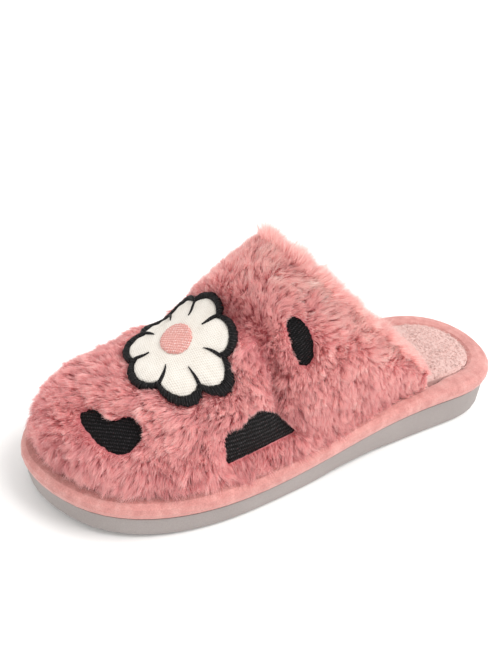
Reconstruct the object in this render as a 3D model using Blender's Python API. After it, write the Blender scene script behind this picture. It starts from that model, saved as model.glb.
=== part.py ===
"""Plush slip-on slipper for the left foot: foam outsole, wrapped midsole, fleece insole and furry upper.

Frame: +Y from heel to toe, +X towards the big toe side, +Z up, metres.
The floor is Z = 0 and the origin lies under the middle of the sole's box.
"""
import math

import bpy
import numpy as np

# Driving sizes of the sole
LENGTH = 0.265
BALL_WIDTH = 0.0996
HEEL_THICKNESS = 0.0185
BALL_THICKNESS = 0.0114
TOE_SPRING = 0.0042
ARCH_LIFT = 0.0015
HEEL_ROCKER = 0.004
TREAD_EDGE = 0.0042

# Where the sole's height changes, in shares of the length from the heel: start and end of each slope
HEEL_SLOPE = (0.22, 0.66)
TOE_RISE = (0.70, 1.00)
TREAD_TOE_RISE = (0.74, 1.00)
HEEL_BACK = 0.08
ARCH = (0.30, 0.54)
ARCH_SLOPE = 0.08

# Driving sizes of the wrapped midsole and the insole
WRAP_HEIGHT = 0.0088
WRAP_BULGE = 0.0015
RIM_WIDTH = 0.0081
LEDGE_HEIGHT = 0.0030
BARE_RIM_START = 0.083
BARE_RIM_BLEND = 0.053
INSOLE_THICKNESS = 0.0053
INSOLE_CROWN = 0.0012
INSOLE_EDGE_SHARE = 0.25
CROWN_EDGES = 8
GAP = 0.0003

# Driving sizes of the upper
CLOTH = 0.0025
PILE = 0.0066
HEM_PILE = 0.0040
HEM_LOCK = 0.0018
COLLAR_LOCK = 0.0078
FULL_RIB = 0.045
LOCK_DEPTH = 0.0030
INSTEP_HEIGHT = 0.0815
QUARTER_END_HEIGHT = 0.0085
COLLAR_TOP_SHARE = 0.555
QUARTER_END_SHARE = 0.235
COLLAR_SWEEP = 2.4
SECTION_POWER = 2.25
RIB_EASE = 1.35
RIB_EASE_ENDS = 0.75
TOE_ROUND = 0.035
RIDGE_BLUR = 0.03
FOLD_CLEAR = 0.006
FOLD_FADE = 0.030

# Driving sizes of the sewn-on patches
PATCH_SIZE = 0.0104
PATCH_THICKNESS = 0.0012
PATCH_STEP = 0.0004
PIT_FLARE = 0.0012
DAISY_RADIUS = 0.0245
DAISY_BORDER = 0.0032
DAISY_LIFT = 0.0016
DAISY_CENTRE = 0.0080
DAISY_PETALS = 8
PETAL_NOTCH = 0.16

# Pattern of the fur's locks: rows a lock spans, turn from one lock to the next in radians, least shares
LOCK_ROWS = 4
LOCK_SWAY = 1.9
LOCK_LEAST = 0.72
COLLAR_LOCK_LEAST = 0.45
HEM_GROW_SHARE = 0.22
LEAST_FUR_SHARE = 0.3

# Mesh resolution: stations round the sole, rows of the upper, points of a round patch and of each petal
STATIONS = 96
FUR_ROWS = 24
LINING_ROWS = 8
CENTRE_POINTS = 24
PETAL_POINTS = 6
CORNER_CUT = 0.16

# Sole outline: share of the length from the heel, centre line and half width as shares of half the ball width
OUTLINE = [
    # along, centre, half
    (0.000, 0.000, 0.000),
    (0.030, -0.015, 0.470),
    (0.100, -0.022, 0.716),
    (0.200, -0.026, 0.765),
    (0.350, -0.064, 0.766),
    (0.500, -0.074, 0.850),
    (0.620, -0.042, 0.952),
    (0.720, -0.011, 1.000),
    (0.820, 0.030, 0.958),
    (0.900, 0.080, 0.815),
    (0.960, 0.135, 0.545),
    (1.000, 0.190, 0.000),
]

# Height of the empty upper over its hem: share of the length, share of the instep height
RIDGE = [
    # along, height
    (0.15, 1.42),
    (0.30, 1.34),
    (0.45, 1.20),
    (0.565, 1.04),
    (0.62, 0.88),
    (0.66, 0.745),
    (0.70, 0.64),
    (0.74, 0.57),
    (0.80, 0.47),
    (0.85, 0.38),
    (0.90, 0.35),
    (0.95, 0.38),
    (1.00, 0.43),
]

# Soft folds of the upper, in plan: centre along the length and across the half ball width, direction of the
# fold line in degrees, then half length, half width and depth as shares of the length
FOLDS = [
    # along, across, turn, length, width, depth
    (0.615, -0.46, 210.0, 0.083, 0.0226, 0.0132),
    (0.700, 0.60, 150.0, 0.083, 0.0264, 0.0076),
]

# Rounded cross-section of the wrap: inset from the outline as a share of the rim width, height share
WRAP_OUTER = [
    # inset, height
    (0.12, 0.00),
    (-0.11, 0.14),
    (-0.185, 0.45),
    (-0.11, 0.75),
    (0.15, 0.95),
]
WRAP_INNER = [
    (0.50, 1.00),
    (0.82, 0.93),
    (1.00, 0.75),
]

# Outlines of the black patches seen from outside, in shares of their half width and half height
HEART = [
    # across, up
    (0.43, -1.00),
    (0.78, -0.72),
    (0.94, -0.10),
    (1.00, 0.34),
    (0.89, 0.80),
    (0.63, 1.00),
    (0.38, 0.94),
    (0.21, 0.66),
    (0.08, 0.34),
    (-0.20, 0.24),
    (-0.46, 0.32),
    (-0.77, 0.22),
    (-1.00, -0.22),
    (-0.86, -0.54),
    (-0.45, -0.81),
    (0.03, -0.98),
]
DOME = [
    # across, up
    (-1.00, -1.00),
    (-0.39, -0.86),
    (0.35, -0.72),
    (1.00, -0.66),
    (0.72, -0.06),
    (0.42, 0.50),
    (0.10, 0.87),
    (-0.13, 1.00),
    (-0.31, 0.83),
    (-0.51, 0.52),
    (-0.70, 0.40),
    (-0.94, 0.32),
]
OVAL = [
    # across, up
    (0.34, -1.00),
    (0.79, -0.96),
    (1.00, -0.60),
    (0.75, 0.08),
    (0.26, 0.60),
    (-0.25, 0.93),
    (-0.76, 1.00),
    (-1.00, 0.79),
    (-0.92, 0.42),
    (-0.57, -0.07),
    (-0.12, -0.66),
]

# Black patches: place on the upper (share round the hem, share up the rib), half width and half height in
# shares of the patch size, outline
PATCHES = {
    # name: (round, up, half width, half height, outline)
    "heart_patch": (0.417, 0.231, 1.40, 0.80, HEART),
    "dome_patch": (0.235, 0.263, 1.81, 1.20, DOME),
    "outer_oval_patch": (0.250, 0.780, 0.81, 1.00, OVAL),
    "inner_oval_patch": (0.770, 0.640, 0.77, 1.00, OVAL),
}
DAISY_PLACE = (0.468, 0.665)


def closed_spline(points, shares):
    """The smooth closed curve through points, and its tangent, at shares of its parameter. Rows are x, y."""
    points = np.asarray(points, float)
    count = len(points)
    following = np.roll(points, -1, 0)
    step = np.sqrt(np.linalg.norm(following - points, axis=1))
    before = np.roll(step, 1)
    matrix = np.zeros((count, count))
    for i in range(count):
        matrix[i, i - 1] += before[i]
        matrix[i, i] += 2 * (before[i] + step[i])
        matrix[i, (i + 1) % count] += step[i]
    slope = (following - points) / step[:, None]
    bend = np.linalg.solve(matrix, 6 * (slope - np.roll(slope, 1, 0)))
    knots = np.concatenate([[0], np.cumsum(step)])
    place = np.mod(np.asarray(shares, float), 1.0) * knots[-1]
    i = np.clip(np.searchsorted(knots, place, side="right") - 1, 0, count - 1)
    j = (i + 1) % count
    h = step[i][:, None]
    t = (place - knots[i])[:, None]
    rest = h - t
    curve = (
        (bend[i] * rest**3 + bend[j] * t**3) / (6 * h)
        + (points[i] / h - bend[i] * h / 6) * rest
        + (points[j] / h - bend[j] * h / 6) * t
    )
    tangent = (
        (bend[j] * t**2 - bend[i] * rest**2) / (2 * h)
        + (points[j] - points[i]) / h
        - (bend[j] - bend[i]) * h / 6
    )
    return curve, tangent


def smooth_step(value):
    value = np.clip(value, 0.0, 1.0)
    return value * value * (3 - 2 * value)


def outline_controls():
    """The outline's own points: heel tip, outer side, toe tip, inner side."""
    half = BALL_WIDTH / 2
    rows = np.array(OUTLINE)
    y = (rows[:, 0] - 0.5) * LENGTH
    left = np.column_stack([(rows[:, 1] - rows[:, 2]) * half, y])
    right = np.column_stack([(rows[:, 1] + rows[:, 2]) * half, y])
    return np.vstack([left, right[-2:0:-1]])


def arm_shares(shares):
    """Shares round the sole, 0 at the heel tip and 0.5 at the toe tip, as the spline's own shares."""
    shares = np.asarray(shares, float)
    points = CONTROLS
    step = np.sqrt(np.linalg.norm(np.roll(points, -1, 0) - points, axis=1))
    toe = step[: len(OUTLINE) - 1].sum() / step.sum()
    dense = np.linspace(0, 1, 1201)
    curve, _ = closed_spline(points, np.where(dense < 1, dense, 0.999999))
    run = np.concatenate([[0], np.cumsum(np.linalg.norm(np.diff(curve, axis=0), axis=1))])
    toe_run = np.interp(toe, dense, run)
    wanted = np.where(
        shares <= 0.5,
        shares * 2 * toe_run,
        toe_run + (shares - 0.5) * 2 * (run[-1] - toe_run),
    )
    return np.interp(wanted, run, dense)


def box_of(controls):
    """Lowest and highest plan point of the outline through these points."""
    curve, _ = closed_spline(controls, np.linspace(0, 1, 2000, endpoint=False))
    return curve.min(0), curve.max(0)


CONTROLS = outline_controls()
CONTROLS = CONTROLS - sum(box_of(CONTROLS)) / 2
HEEL_Y = box_of(CONTROLS)[0][1]


def outline(shares, inset):
    """Plan points at shares round the sole, moved inwards by inset, one value or one for each."""
    curve, tangent = closed_spline(CONTROLS, arm_shares(shares))
    tangent = tangent / np.linalg.norm(tangent, axis=1)[:, None]
    inward = np.column_stack([tangent[:, 1], -tangent[:, 0]])
    return curve + inward * np.reshape(inset, (-1, 1))


def along(y):
    """Share of the length, 0 at the heel and 1 at the toe."""
    return (np.asarray(y) - HEEL_Y) / LENGTH


def slope(s, ends):
    """From 0 to 1 between two shares of the length, level at both."""
    return smooth_step((s - ends[0]) / (ends[1] - ends[0]))


def rise_from(s, ends):
    """From 0 to 1 between two shares of the length, level only at the first."""
    return np.clip((s - ends[0]) / (ends[1] - ends[0]), 0, 1) ** 2


def sole_top(y):
    """Height of the outsole's upper face: thick heel, thin ball, toe lifted by its spring."""
    s = along(y)
    heel = 1 - slope(s, HEEL_SLOPE)
    toe = rise_from(s, TOE_RISE)
    return BALL_THICKNESS + (HEEL_THICKNESS - BALL_THICKNESS) * heel + TOE_SPRING * toe


def sole_bottom(y):
    """Height of the tread: flat under heel and ball, lifted at the heel's back, the arch and the toe."""
    s = along(y)
    toe = rise_from(s, TREAD_TOE_RISE)
    heel = np.clip((HEEL_BACK - s) / HEEL_BACK, 0, 1) ** 2
    arch = smooth_step((s - ARCH[0]) / ARCH_SLOPE) * smooth_step((ARCH[1] - s) / ARCH_SLOPE)
    return TOE_SPRING * toe + HEEL_ROCKER * heel + ARCH_LIFT * arch


STATION_SHARES = np.arange(STATIONS) / STATIONS


def ring(inset, height):
    """One closed ring of a sole piece: plan points at the stations, with height as a function of y."""
    plan = outline(STATION_SHARES, inset)
    return np.column_stack([plan, height(plan[:, 1])])


def quarter_station():
    """The station at which the upper's outer quarter ends, counted from the heel tip."""
    y = outline(STATION_SHARES[: STATIONS // 2], 0.0)[:, 1]
    return int(np.argmin(np.abs(along(y) - QUARTER_END_SHARE)))


END_STATION = quarter_station()
QUARTER_Y = outline([END_STATION / STATIONS], 0.0)[0, 1]
HEM_INSET = RIM_WIDTH + GAP + CLOTH
INSOLE_INSET = HEM_INSET + GAP


def rim_inset(y):
    """Inset of the rim's inner side: narrow beside the upper, wider round the bare heel."""
    bare = 1 - smooth_step((y - (QUARTER_Y - BARE_RIM_START * LENGTH)) / (BARE_RIM_BLEND * LENGTH))
    return RIM_WIDTH + (CLOTH + GAP) * bare


def wrap_base(y):
    return sole_top(y) + GAP


def ledge(y):
    """Height of the midsole's floor inside its rim."""
    return wrap_base(y) + LEDGE_HEIGHT


def hem_top(y):
    """Height just over the rim, where the fur starts to stand out."""
    return wrap_base(y) + WRAP_HEIGHT + 2 * GAP


def add_object(name, points, faces, material):
    mesh = bpy.data.meshes.new(name)
    mesh.from_pydata([tuple(map(float, p)) for p in points], [], faces)
    mesh.validate()
    mesh.update()
    mesh.materials.append(material)
    mesh.shade_smooth()
    mesh.set_sharp_from_angle(angle=math.radians(50))
    piece = bpy.data.objects.new(name, mesh)
    bpy.context.scene.collection.objects.link(piece)
    return piece


def ladder(start, flip):
    """Faces across a closed ring of stations, joining each of one side to its mate on the other."""
    faces = []
    half = STATIONS // 2
    for i in range(half):
        here, there = start + i, start + (STATIONS - i) % STATIONS
        next_here, next_there = start + i + 1, start + STATIONS - i - 1
        face = [here, next_here, next_there, there]
        face = [p for k, p in enumerate(face) if p not in face[:k]]
        faces.append(face[::-1] if flip else face)
    return faces


def ring_solid(name, rings, material):
    """A closed solid from rings in order, the first closed across underneath and the last across on top."""
    points = np.vstack(rings)
    faces = ladder(0, False)
    for r in range(len(rings) - 1):
        low, high = r * STATIONS, (r + 1) * STATIONS
        for i in range(STATIONS):
            j = (i + 1) % STATIONS
            faces.append([low + i, high + i, high + j, low + j])
    faces += ladder((len(rings) - 1) * STATIONS, True)
    return add_object(name, points, faces, material)


def make_outsole(material):
    side = [
        # inset share of the tread edge, height share of the tread edge
        (1.00, 0.00),
        (0.42, 0.10),
        (0.10, 0.42),
        (0.00, 1.00),
    ]
    rings = [
        ring(inset * TREAD_EDGE, lambda y, lift=lift: sole_bottom(y) + lift * TREAD_EDGE)
        for inset, lift in side
    ]
    rings.append(ring(0.0, sole_top))
    return ring_solid("outsole", rings, material)


def make_midsole(material):
    plan = outline(STATION_SHARES, 0.0)
    inner = rim_inset(plan[:, 1])
    rings = [
        ring(inset * RIM_WIDTH, lambda y, lift=lift: wrap_base(y) + lift * WRAP_HEIGHT)
        for inset, lift in scaled_bulge(WRAP_OUTER)
    ]
    rings += [
        ring(inset * inner, lambda y, lift=lift: wrap_base(y) + lift * WRAP_HEIGHT)
        for inset, lift in WRAP_INNER
    ]
    rings.append(ring(inner, ledge))
    return ring_solid("midsole_wrap", rings, material)


def scaled_bulge(rows):
    """The wrap's outer rows, with the ones outside the outline following the bulge."""
    deepest = min(inset for inset, _ in rows)
    return [
        (inset if inset > 0 else inset / deepest * -WRAP_BULGE / RIM_WIDTH, lift)
        for inset, lift in rows
    ]


def make_insole(material):
    def level(lift):
        return lambda y: ledge(y) + GAP + lift

    edge = INSOLE_EDGE_SHARE * INSOLE_THICKNESS
    rings = [
        ring(INSOLE_INSET, level(0.0)),
        ring(INSOLE_INSET, level(INSOLE_THICKNESS - edge)),
        ring(INSOLE_INSET + edge, level(INSOLE_THICKNESS)),
        ring(INSOLE_INSET + CROWN_EDGES * edge, level(INSOLE_THICKNESS + INSOLE_CROWN)),
    ]
    return ring_solid("insole", rings, material)


def inner_half(y):
    """Centre and half width of the upper's inside at each y, from the hem's two sides."""
    shares = np.linspace(0.0, 0.5, 400)
    left = outline(shares, HEM_INSET)
    right = outline(1 - shares, HEM_INSET)
    x_left = np.interp(y, left[:, 1], left[:, 0])
    x_right = np.interp(y, right[:, 1], right[:, 0])
    return (x_left + x_right) / 2, np.maximum((x_right - x_left) / 2, 1e-5)


def dome_height(y):
    """Height of the upper's inside over its hem along the middle, rounded down at the toe."""
    rows = np.array(RIDGE)
    knots, values = rows[:, 0], rows[:, 1]
    s = along(y)
    blur = np.linspace(-RIDGE_BLUR, RIDGE_BLUR, 7)
    smooth = np.mean([np.interp(s + b, knots, values) for b in blur], axis=0)
    tip = outline([0.5], HEM_INSET)[0, 1]
    back = np.clip((tip - np.asarray(y)) / TOE_ROUND, 0, 1)
    power = SECTION_POWER
    return INSTEP_HEIGHT * smooth * (1 - (1 - back) ** power) ** (1 / power)


def collar_plan(u):
    """Plan points of the collar's edge, from the outer quarter's end over the instep to the inner one."""
    q = 2 * u - 1
    hem = outline(hem_shares(u), HEM_INSET)
    end_y = outline([hem_shares(0.0), hem_shares(1.0)], HEM_INSET)[:, 1]
    end = np.where(q < 0, end_y[0], end_y[1])
    top = HEEL_Y + COLLAR_TOP_SHARE * LENGTH
    back = np.abs(q) ** COLLAR_SWEEP
    y = top + (end - top) * back
    centre, half = inner_half(y)
    top_z = hem_top(top) + dome_height(top)
    z = top_z + (hem_top(end) + QUARTER_END_HEIGHT - top_z) * back
    level = np.clip((z - hem_top(y)) / dome_height(y), 0, 1)
    across = (1 - level**SECTION_POWER) ** (1 / SECTION_POWER)
    x = centre + np.sign(q) * half * across
    return np.column_stack([x, y]), hem


def hem_shares(u):
    """Shares round the sole for shares round the hem, 0 and 1 at the two quarters' ends."""
    start = END_STATION / STATIONS
    return start + (1 - 2 * start) * np.asarray(u, float)


def last(u, v):
    """The inside of the upper: u runs round the hem from the outer quarter, v up each rib to the collar."""
    u, v = np.broadcast_arrays(np.asarray(u, float), np.asarray(v, float))
    shape, u, v = u.shape, u.ravel(), v.ravel()
    collar, hem = collar_plan(u)
    ease = RIB_EASE + RIB_EASE_ENDS * np.abs(2 * u - 1) ** 1.5
    rise = np.maximum(v, 0) ** ease
    plan = hem + (collar - hem) * rise[:, None]
    centre, half = inner_half(plan[:, 1])
    across = np.clip(np.abs(plan[:, 0] - centre) / half, 0, 1)
    z = hem_top(plan[:, 1]) + dome_height(plan[:, 1]) * (1 - across**SECTION_POWER) ** (1 / SECTION_POWER)
    return np.column_stack([plan, z]).reshape(shape + (3,))


def unit(vectors):
    return vectors / np.maximum(np.linalg.norm(vectors, axis=-1, keepdims=True), 1e-12)


def directions(u, v):
    """Unit vectors on the last: along the hem, up the rib, and outwards."""
    u, v = np.broadcast_arrays(np.asarray(u, float), np.asarray(v, float))
    du, dv = 0.006, 0.03
    low, high = np.clip(v - dv, 0.002, 1), np.clip(v + dv, 0, 1)
    row = np.clip(v, 0.02, 1)
    round_hem = unit(last(np.clip(u + du, 0, 1), row) - last(np.clip(u - du, 0, 1), row))
    up_rib = unit(last(u, high) - last(u, low))
    outwards = unit(np.cross(up_rib, round_hem))
    return round_hem, up_rib, outwards


def fold_depth(points):
    """How far the soft folds draw the upper inwards at these points. They fade out towards the hem."""
    depth = np.zeros(points.shape[:-1])
    height = points[..., 2] - hem_top(points[..., 1])
    for share, across, turn, length, width, drop in FOLDS:
        centre_y = HEEL_Y + share * LENGTH
        dx = points[..., 0] - across * BALL_WIDTH / 2
        dy = points[..., 1] - centre_y
        angle = math.radians(turn)
        run = dx * math.cos(angle) + dy * math.sin(angle)
        off = -dx * math.sin(angle) + dy * math.cos(angle)
        depth += drop * LENGTH * np.exp(-((off / (width * LENGTH)) ** 2) - (run / (length * LENGTH)) ** 4)
    return depth * smooth_step((height - FOLD_CLEAR) / FOLD_FADE)


def upper_at(u, v, level):
    """A point of the upper at a level over its lining, folds included."""
    base = last(u, v)
    outwards = directions(u, v)[2]
    lift = np.asarray(level) - fold_depth(base)
    return base + outwards * lift[..., None]


def lock_pattern(columns, rows):
    """Relief of the fur, 0 at a lock's root and 1 at its tip: staggered, uneven locks towards the hem."""
    i, j = np.meshgrid(np.arange(columns), np.arange(rows), indexing="ij")
    shift = (i % 2) * (LOCK_ROWS // 2) + (np.sin(i * LOCK_SWAY) > 0.3)
    place = (j + shift) % LOCK_ROWS
    uneven = 0.5 + 0.5 * np.sin(i * LOCK_SWAY + (j + shift) // LOCK_ROWS * 2.3)
    return (1 - place / (LOCK_ROWS - 1)) * (LOCK_LEAST + (1 - LOCK_LEAST) * uneven)


def collar_reach(columns):
    """Length of each lock along the collar's edge, as a share of the longest."""
    i = np.arange(columns)
    return COLLAR_LOCK_LEAST + (1 - COLLAR_LOCK_LEAST) * np.abs(np.sin(i * LOCK_SWAY))


def make_upper(material):
    """The upper as one hollow solid: cloth wall, fur standing on it in locks, fringes at hem and collar."""
    columns = STATIONS - 2 * END_STATION + 1
    u = np.linspace(0, 1, columns)
    rise = np.linspace(0, 1, FUR_ROWS + 1)[1:]
    grid_u, grid_v = np.meshgrid(u, rise, indexing="ij")
    odd = np.arange(columns) % 2
    rib = np.linalg.norm(last(u, 1.0) - last(u, 0.0), axis=1)
    full = np.clip(rib / FULL_RIB, LEAST_FUR_SHARE, 1)
    grow = smooth_step(grid_v / HEM_GROW_SHARE)
    pile = (HEM_PILE + (PILE - HEM_PILE) * grow) * np.sqrt(full)[:, None]
    relief = LOCK_DEPTH * (1 - lock_pattern(columns, FUR_ROWS)) * full[:, None]
    fur = upper_at(grid_u, grid_v, CLOTH + pile - relief)

    hem_plan = outline(hem_shares(u), HEM_INSET)
    cloth_plan = outline(hem_shares(u), HEM_INSET - CLOTH)
    fringe_plan = outline(hem_shares(u), HEM_INSET - CLOTH - HEM_PILE - HEM_LOCK * odd)
    foot_out = np.column_stack([cloth_plan, ledge(cloth_plan[:, 1]) + GAP])
    seam_out = np.column_stack([cloth_plan, hem_top(cloth_plan[:, 1])])
    fringe = np.column_stack([fringe_plan, hem_top(fringe_plan[:, 1])])
    foot_in = np.column_stack([hem_plan, ledge(hem_plan[:, 1]) + GAP])

    _, up_rib, outwards = directions(u, np.ones(columns))
    edge = upper_at(u, np.ones(columns), np.zeros(columns))
    reach = COLLAR_LOCK * collar_reach(columns) * full
    tip = edge + up_rib * reach[:, None] + outwards * (CLOTH + 0.45 * PILE * full)[:, None]

    lining_u, lining_v = np.meshgrid(u, np.linspace(1, 0, LINING_ROWS), indexing="ij")
    lining = upper_at(lining_u, lining_v, np.zeros(lining_u.shape))
    rows = [foot_out, seam_out, fringe]
    rows += [fur[:, r] for r in range(FUR_ROWS)]
    rows += [tip]
    rows += [lining[:, r] for r in range(LINING_ROWS)]
    rows += [foot_in]

    points = np.vstack(rows)
    count = len(rows)
    faces = []
    for r in range(count):
        low, high = r * columns, ((r + 1) % count) * columns
        for i in range(columns - 1):
            faces.append([low + i, high + i, high + i + 1, low + i + 1])
    faces.append([r * columns for r in range(count)][::-1])
    faces.append([r * columns + columns - 1 for r in range(count)])
    return add_object("upper", points, faces, material)


def place_on_upper(place, local):
    """Shares (u, v) of the upper's points at local offsets in metres from a place, seen along its normal."""
    u0, v0 = place
    origin = last(u0, v0)
    round_hem, _, outwards = directions(u0, v0)
    rightwards = -round_hem
    upwards = np.cross(outwards, rightwards)
    u = np.full(len(local), u0)
    v = np.full(len(local), v0)
    small = 1e-4

    def offsets(u, v):
        apart = last(u, v) - origin
        return np.column_stack([apart @ rightwards, apart @ upwards])

    for _ in range(12):
        now = offsets(u, v)
        by_u = (offsets(u + small, v) - now) / small
        by_v = (offsets(u, v + small) - now) / small
        missing = local - now
        scale = by_u[:, 0] * by_v[:, 1] - by_u[:, 1] * by_v[:, 0]
        step_u = (missing[:, 0] * by_v[:, 1] - missing[:, 1] * by_v[:, 0]) / scale
        step_v = (missing[:, 1] * by_u[:, 0] - missing[:, 0] * by_u[:, 1]) / scale
        u = np.clip(u + np.clip(step_u, -0.05, 0.05), 0.01, 0.99)
        v = np.clip(v + np.clip(step_v, -0.15, 0.15), 0.02, 0.98)
    return u, v


def patch_outline(rows, half_width, half_height):
    """The patch's outline in metres, counter-clockwise from outside, with its corners cut."""
    corners = np.asarray(rows) * [half_width * PATCH_SIZE, half_height * PATCH_SIZE]
    following = np.roll(corners, -1, 0)
    first = corners + (following - corners) * CORNER_CUT
    second = corners + (following - corners) * (1 - CORNER_CUT)
    return np.stack([first, second], axis=1).reshape(-1, 2)


def grown(local, amount):
    """The outline moved outwards by amount."""
    tangent = unit(np.roll(local, -1, 0) - np.roll(local, 1, 0))
    return local + np.column_stack([tangent[:, 1], -tangent[:, 0]]) * amount


def sheet_solid(name, place, loops, low, high, material):
    """A solid between two levels of the upper. Its outline is the last loop, those inside carry its faces.

    Where the first loop is a single point the sheet is whole, and otherwise it is a ring round that loop.
    """
    sizes = [len(loop) for loop in loops]
    local = np.vstack(loops)
    u, v = place_on_upper(place, local)
    count = len(local)
    bottom = upper_at(u, v, np.full(count, low))
    top = upper_at(u, v, np.full(count, high))
    starts = np.concatenate([[0], np.cumsum(sizes)])
    faces = []

    def both(face):
        faces.append([p + count for p in face])
        faces.append(face[::-1])

    for k in range(len(loops) - 1):
        a, b, size = starts[k], starts[k + 1], sizes[k + 1]
        for i in range(size):
            j = (i + 1) % size
            if sizes[k] == 1:
                both([a, b + i, b + j])
            else:
                both([a + i, b + i, b + j])
                both([a + i, b + j, a + j])
    outer, size = starts[len(loops) - 1], sizes[-1]
    for i in range(size):
        j = (i + 1) % size
        faces.append([outer + i, outer + j, outer + j + count, outer + i + count])
        if sizes[0] > 1:
            faces.append([j, i, i + count, j + count])
    return add_object(name, np.vstack([bottom, top]), [[int(p) for p in face] for face in faces], material)


def whole(local):
    """The loops of a whole sheet: its middle, a loop half way out and its outline."""
    middle = local.mean(0)
    return [middle[None], middle + (local - middle) * 0.55, local]


def cut(piece, cutter):
    cutter.hide_render = True
    cutter.display_type = "WIRE"
    modifier = piece.modifiers.new("pit of " + cutter.name, "BOOLEAN")
    modifier.operation = "DIFFERENCE"
    modifier.solver = "EXACT"
    modifier.object = cutter


def make_pit(upper, name, place, loops, low, material):
    """Clears the fur over a patch. Its floor runs parallel to the patch, a little wider all round."""
    high = CLOTH + PILE + COLLAR_LOCK
    wider = loops + [grown(loops[-1], GAP + PIT_FLARE / 2)]
    cut(upper, sheet_solid(name + "_pit", place, wider, low, high, material))


def make_patches(upper, material):
    for name, (u, v, half_width, half_height, rows) in PATCHES.items():
        loops = whole(patch_outline(rows, half_width, half_height))
        floor = CLOTH - PATCH_STEP
        make_pit(upper, name, (u, v), loops, floor, material)
        sheet_solid(name, (u, v), loops, floor + GAP, floor + GAP + PATCH_THICKNESS, material)


def daisy_outline(radius):
    """A round flower's edge: a shallow scallop for each petal, with a point on each crest and notch."""
    count = PETAL_POINTS * DAISY_PETALS
    angle = np.arange(count) / count * 2 * math.pi
    scallop = np.abs(np.cos(angle * DAISY_PETALS / 2)) ** 0.8
    reach = radius * (1 - PETAL_NOTCH * (1 - scallop))
    return np.column_stack([reach * np.cos(angle), reach * np.sin(angle)])


def make_daisy(upper, white, black, pink):
    outer = daisy_outline(DAISY_RADIUS + DAISY_BORDER)
    inner = daisy_outline(DAISY_RADIUS)
    edge = grown(inner, GAP)
    middle = np.zeros((1, 2))
    panel = [middle, inner * 0.5, inner]
    floor = CLOTH + DAISY_LIFT
    low, high = floor + GAP, floor + GAP + PATCH_THICKNESS
    make_pit(upper, "daisy", DAISY_PLACE, panel + [edge, outer], floor, white)
    sheet_solid("daisy_panel", DAISY_PLACE, panel, low, high, white)
    sheet_solid("daisy_border", DAISY_PLACE, [edge, outer], low, high + 2 * PATCH_STEP, black)
    angle = np.arange(CENTRE_POINTS) / CENTRE_POINTS * 2 * math.pi
    centre = DAISY_CENTRE * np.column_stack([np.cos(angle), np.sin(angle)])
    sheet_solid("daisy_centre", DAISY_PLACE, [middle, centre], high + GAP, high + GAP + 2 * PATCH_STEP, pink)


def make_material(name, colour, roughness, metallic=0.0):
    material = bpy.data.materials.new(name)
    material.use_nodes = True
    shader = material.node_tree.nodes["Principled BSDF"]
    shader.inputs["Base Color"].default_value = (*colour, 1.0)
    shader.inputs["Roughness"].default_value = roughness
    shader.inputs["Metallic"].default_value = metallic
    material.diffuse_color = (*colour, 1.0)
    return material


def main():
    for old in list(bpy.data.objects):
        bpy.data.objects.remove(old)
    foam = make_material("grey_foam_rubber", (0.47, 0.44, 0.43), 0.75)
    velour = make_material("pink_velour", (0.80, 0.40, 0.36), 0.9)
    fleece = make_material("pink_fleece", (0.80, 0.42, 0.40), 0.95)
    plush = make_material("pink_plush", (0.72, 0.30, 0.31), 0.9)
    black = make_material("black_thread", (0.015, 0.015, 0.017), 0.55)
    white = make_material("white_felt", (0.86, 0.83, 0.78), 0.85)
    blush = make_material("blush_thread", (0.85, 0.45, 0.43), 0.7)
    make_outsole(foam)
    make_midsole(velour)
    make_insole(fleece)
    upper = make_upper(plush)
    make_patches(upper, black)
    make_daisy(upper, white, black, blush)


main()
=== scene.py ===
import math

import bpy
import numpy as np
from mathutils import Matrix, Vector, kdtree


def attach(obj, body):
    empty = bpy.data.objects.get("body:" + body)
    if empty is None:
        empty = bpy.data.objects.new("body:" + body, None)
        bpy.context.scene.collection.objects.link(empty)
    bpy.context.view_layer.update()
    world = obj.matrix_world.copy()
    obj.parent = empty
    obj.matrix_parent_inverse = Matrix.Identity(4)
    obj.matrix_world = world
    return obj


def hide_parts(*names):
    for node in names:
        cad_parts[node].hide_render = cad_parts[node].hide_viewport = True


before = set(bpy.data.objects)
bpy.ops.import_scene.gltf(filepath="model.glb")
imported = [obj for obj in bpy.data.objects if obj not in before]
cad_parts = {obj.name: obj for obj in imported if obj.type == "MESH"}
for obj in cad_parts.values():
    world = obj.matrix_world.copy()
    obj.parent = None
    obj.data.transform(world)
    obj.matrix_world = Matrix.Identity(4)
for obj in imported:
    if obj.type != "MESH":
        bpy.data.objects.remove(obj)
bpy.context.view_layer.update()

# The part's own sizes, in metres, repeated from its source
LENGTH = 0.265
BALL_WIDTH = 0.0996
HEEL_THICKNESS = 0.0185
BALL_THICKNESS = 0.0114
TOE_SPRING = 0.0042
WRAP_HEIGHT = 0.0088
RIM_WIDTH = 0.0081
LEDGE_HEIGHT = 0.0030
INSOLE_THICKNESS = 0.0053
INSOLE_CROWN = 0.0012
GAP = 0.0003
CLOTH = 0.0025
PILE = 0.0066
HEM_PILE = 0.0040
COLLAR_LOCK = 0.0078
FULL_RIB = 0.045
INSTEP_HEIGHT = 0.0815
QUARTER_END_HEIGHT = 0.0085
COLLAR_TOP_SHARE = 0.555
QUARTER_END_SHARE = 0.235
COLLAR_SWEEP = 2.4
SECTION_POWER = 2.25
TOE_ROUND = 0.035
FOLD_CLEAR = 0.006
FOLD_FADE = 0.030
PATCH_SIZE = 0.0104
PATCH_THICKNESS = 0.0012
PATCH_STEP = 0.0004
DAISY_RADIUS = 0.0245
DAISY_BORDER = 0.0032
DAISY_LIFT = 0.0016
DAISY_CENTRE = 0.0080
DAISY_PETALS = 8
PETAL_NOTCH = 0.16
STATIONS = 96
CORNER_CUT = 0.16
HEM_INSET = RIM_WIDTH + GAP + CLOTH
INSOLE_INSET = HEM_INSET + GAP

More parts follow.
